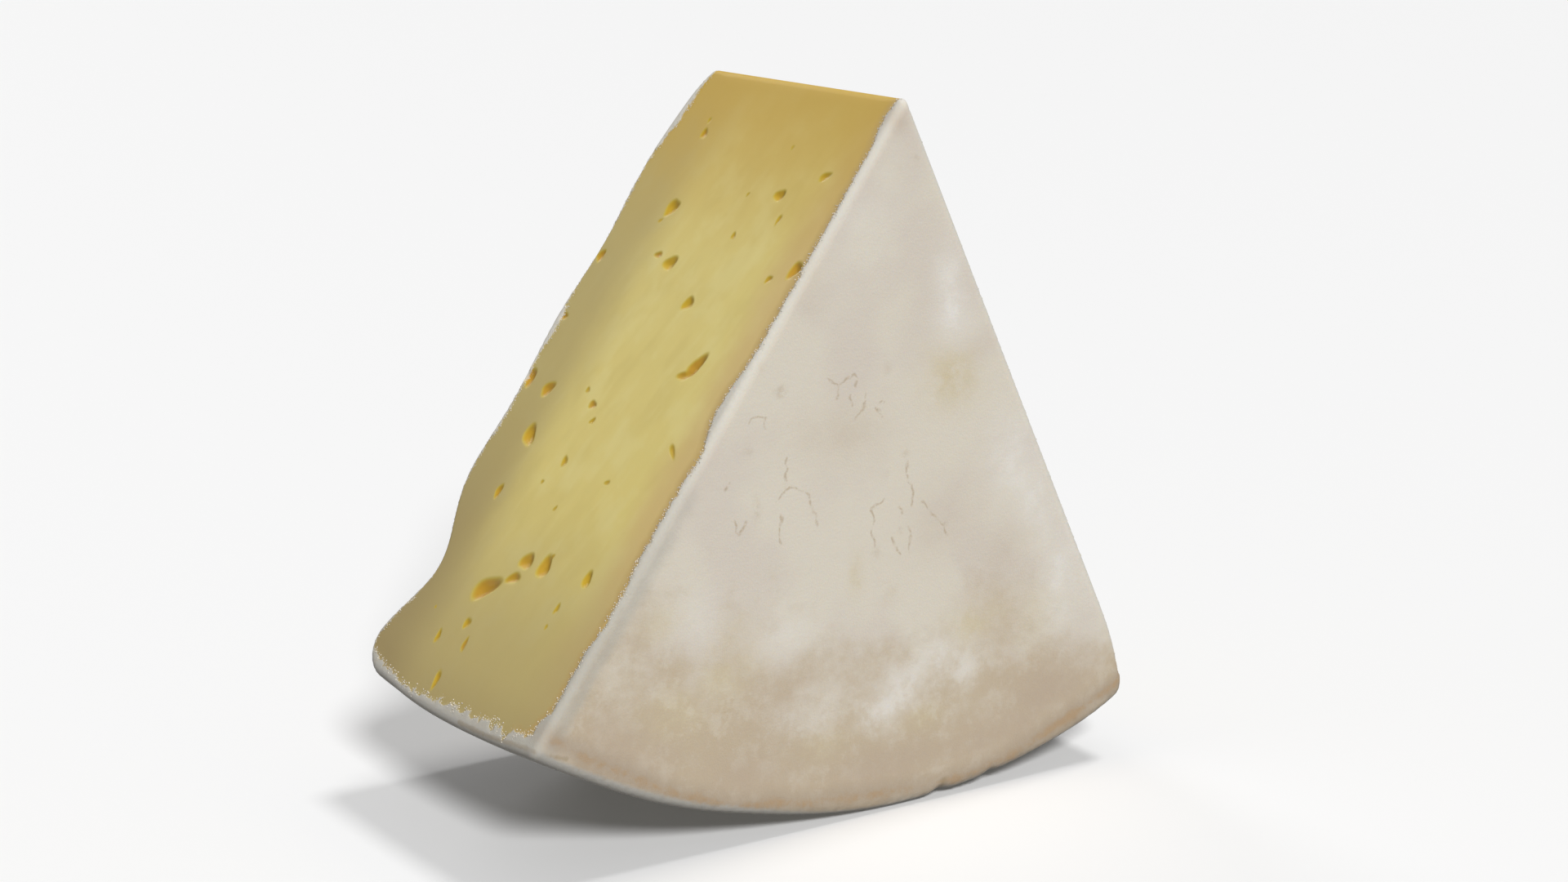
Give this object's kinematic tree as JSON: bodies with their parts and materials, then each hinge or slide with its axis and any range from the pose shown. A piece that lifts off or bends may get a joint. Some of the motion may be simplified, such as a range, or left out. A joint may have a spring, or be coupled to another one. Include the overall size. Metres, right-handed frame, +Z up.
{
  "type": "soft cheese wedge",
  "caption": "Wedge of a round white-rinded soft cheese with small eyes in its yellow paste, standing on its curved rind.",
  "frame": {"origin": "middle of the wedge's footprint box, on the floor it stands on", "axes": "+X along the wide span of the wedge, the left cut towards -X; -Y out of the large flat rind face; +Z up to the tip edge"},
  "size_m": [0.103, 0.0518, 0.1007],
  "materials": {
    "cheese": "white bloomy rind with beige clouds outside, pale yellow paste with ochre edges on the cuts, satin"
  },
  "bodies": {
    "root": {"cheese_wedge": "cheese"}
  },
  "joints": []
}
